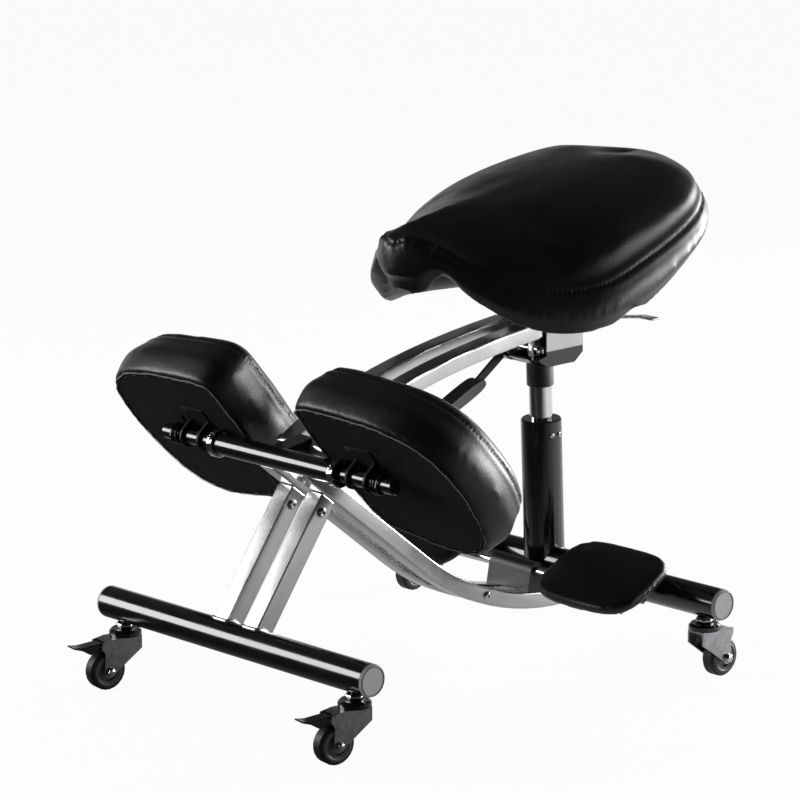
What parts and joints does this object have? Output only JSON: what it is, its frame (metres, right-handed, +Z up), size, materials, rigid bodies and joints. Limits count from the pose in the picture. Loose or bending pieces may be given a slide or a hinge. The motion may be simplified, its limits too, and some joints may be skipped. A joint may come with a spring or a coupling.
{
  "type": "kneeling chair",
  "caption": "Kneeling chair with a saddle seat on a gas lift, tilting knee and foot pads, a bent tube frame and braked swivel casters.",
  "frame": {"origin": "centre of the footprint's bounding box, on the floor", "axes": "+Z up; -Y is the way the sitter faces, with the knee pads in front; +X is the sitter's left"},
  "size_m": [0.5826, 0.7758, 0.5949],
  "materials": {
    "black_board": "plywood under black dust cloth",
    "black_enamel": "gloss black powder coat",
    "black_leather": "black leatherette over foam, soft sheen",
    "black_plastic": "moulded black plastic",
    "chrome": "polished chrome plate",
    "grey_plastic": "moulded grey plastic",
    "rubber": "dark grey tread",
    "silver_enamel": "satin silver powder coat",
    "spring_steel": "oiled spring steel",
    "zinc": "bright zinc plate"
  },
  "bodies": {
    "frame": {"foot_bar": "chrome", "foot_bar_clamp": "black_plastic", "front_left_stem": "black_enamel", "front_left_tube_cap": "grey_plastic", "front_right_stem": "black_enamel", "front_right_tube_cap": "grey_plastic", "front_tube": "black_enamel", "gas_column": "black_enamel", "hinge_bolt": "zinc", "knee_bar": "black_enamel", "knee_shaft": "black_enamel", "left_knee_collar": "chrome", "left_knee_spring": "spring_steel", "left_leg": "silver_enamel", "left_lower_arc": "silver_enamel", "rear_left_stem": "black_enamel", "rear_left_tube_cap": "grey_plastic", "rear_right_stem": "black_enamel", "rear_right_tube_cap": "grey_plastic", "rear_tube": "black_enamel", "right_knee_collar": "chrome", "right_knee_spring": "spring_steel", "right_leg": "silver_enamel", "right_lower_arc": "silver_enamel"},
    "arcs": {"left_upper_arc": "silver_enamel", "right_upper_arc": "silver_enamel", "arc_yoke": "silver_enamel"},
    "seat": {"piston_rod": "chrome", "taper_collar": "black_plastic", "seat_bracket": "silver_enamel", "bracket_pin": "chrome", "seat_board": "black_board", "saddle_cushion": "black_leather"},
    "height_lever": {"height_lever": "zinc"},
    "tilt_lever": {"tilt_lever": "black_enamel", "tilt_lever_grip": "black_plastic"},
    "left_knee_pad": {"left_knee_board": "black_board", "left_knee_cushion": "black_leather", "left_knee_bracket": "zinc"},
    "left_foot_pad": {"left_foot_plate": "black_enamel", "left_foot_cushion": "black_leather"},
    "right_knee_pad": {"right_knee_board": "black_board", "right_knee_cushion": "black_leather", "right_knee_bracket": "zinc"},
    "right_foot_pad": {"right_foot_plate": "black_enamel", "right_foot_cushion": "black_leather"},
    "front_left_caster": {"front_left_fork": "zinc"},
    "front_left_wheel": {"front_left_tyre": "rubber", "front_left_hub": "grey_plastic"},
    "front_left_pedal": {"front_left_brake_pedal": "black_enamel"},
    "front_right_caster": {"front_right_fork": "zinc"},
    "front_right_wheel": {"front_right_tyre": "rubber", "front_right_hub": "grey_plastic"},
    "front_right_pedal": {"front_right_brake_pedal": "black_enamel"},
    "rear_left_caster": {"rear_left_fork": "zinc"},
    "rear_left_wheel": {"rear_left_tyre": "rubber", "rear_left_hub": "grey_plastic"},
    "rear_right_caster": {"rear_right_fork": "zinc"},
    "rear_right_wheel": {"rear_right_tyre": "rubber", "rear_right_hub": "grey_plastic"}
  },
  "joints": [
    {"name": "seat_height", "type": "slide", "parent": "frame", "child": "seat", "axis": [0, -0.0454, 0.999], "range_m": [-0.035, 0.065]},
    {"name": "arc_swing", "type": "hinge", "parent": "frame", "child": "arcs", "pos_m": [0, -0.20371, 0.3043], "axis": [1, 0, 0], "range_deg": [-5.6, 10.2]},
    {"name": "height_lever_pull", "type": "hinge", "parent": "seat", "child": "height_lever", "pos_m": [0.03475, 0.18146, 0.40629], "axis": [0, -1, 0], "range_deg": [0, 5], "stiffness_Nm_per_rad": 1, "springref_deg": -5.73},
    {"name": "tilt_lever_turn", "type": "hinge", "parent": "seat", "child": "tilt_lever", "pos_m": [-0.036, 0.16641, 0.36204], "axis": [1, 0, 0], "range_deg": [-10, 15]},
    {"name": "left_knee_tilt", "type": "hinge", "parent": "frame", "child": "left_knee_pad", "pos_m": [0.14, -0.24771, 0.2973], "axis": [1, 0, 0], "range_deg": [-10, 10], "stiffness_Nm_per_rad": 40},
    {"name": "left_foot_tilt", "type": "hinge", "parent": "frame", "child": "left_foot_pad", "pos_m": [0.15, 0.14144, 0.09688], "axis": [1, 0, 0], "range_deg": [-15, 20]},
    {"name": "right_knee_tilt", "type": "hinge", "parent": "frame", "child": "right_knee_pad", "pos_m": [-0.14, -0.24771, 0.2973], "axis": [1, 0, 0], "range_deg": [-10, 10], "stiffness_Nm_per_rad": 40},
    {"name": "right_foot_tilt", "type": "hinge", "parent": "frame", "child": "right_foot_pad", "pos_m": [-0.15, 0.14144, 0.09688], "axis": [1, 0, 0], "range_deg": [-15, 20]},
    {"name": "front_left_swivel", "type": "hinge", "parent": "frame", "child": "front_left_caster", "pos_m": [0.196, -0.31371, 0], "axis": [0, 0, 1], "continuous": true},
    {"name": "front_left_roll", "type": "hinge", "parent": "front_left_caster", "child": "front_left_wheel", "pos_m": [0.19114, -0.34128, 0.023], "axis": [0.9848, -0.1736, 0], "continuous": true},
    {"name": "front_left_brake", "type": "hinge", "parent": "front_left_caster", "child": "front_left_pedal", "pos_m": [0.19114, -0.34128, 0.05635], "axis": [0.9848, -0.1736, 0], "range_deg": [0, 7]},
    {"name": "front_right_swivel", "type": "hinge", "parent": "frame", "child": "front_right_caster", "pos_m": [-0.196, -0.31371, 0], "axis": [0, 0, 1], "continuous": true},
    {"name": "front_right_roll", "type": "hinge", "parent": "front_right_caster", "child": "front_right_wheel", "pos_m": [-0.20086, -0.34128, 0.023], "axis": [0.9848, -0.1736, 0], "continuous": true},
    {"name": "front_right_brake", "type": "hinge", "parent": "front_right_caster", "child": "front_right_pedal", "pos_m": [-0.20086, -0.34128, 0.05635], "axis": [0.9848, -0.1736, 0], "range_deg": [0, 7]},
    {"name": "rear_left_swivel", "type": "hinge", "parent": "frame", "child": "rear_left_caster", "pos_m": [0.262, 0.19129, 0], "axis": [0, 0, 1], "continuous": true},
    {"name": "rear_left_roll", "type": "hinge", "parent": "rear_left_caster", "child": "rear_left_wheel", "pos_m": [0.262, 0.21929, 0.023], "axis": [-1, 0, 0], "continuous": true},
    {"name": "rear_right_swivel", "type": "hinge", "parent": "frame", "child": "rear_right_caster", "pos_m": [-0.262, 0.19129, 0], "axis": [0, 0, 1], "continuous": true},
    {"name": "rear_right_roll", "type": "hinge", "parent": "rear_right_caster", "child": "rear_right_wheel", "pos_m": [-0.262, 0.21929, 0.023], "axis": [-1, 0, 0], "continuous": true}
  ],
  "couplings": [
    {"joint": "arc_swing", "follows": "seat_height", "rad_per_m": 2.67}
  ]
}
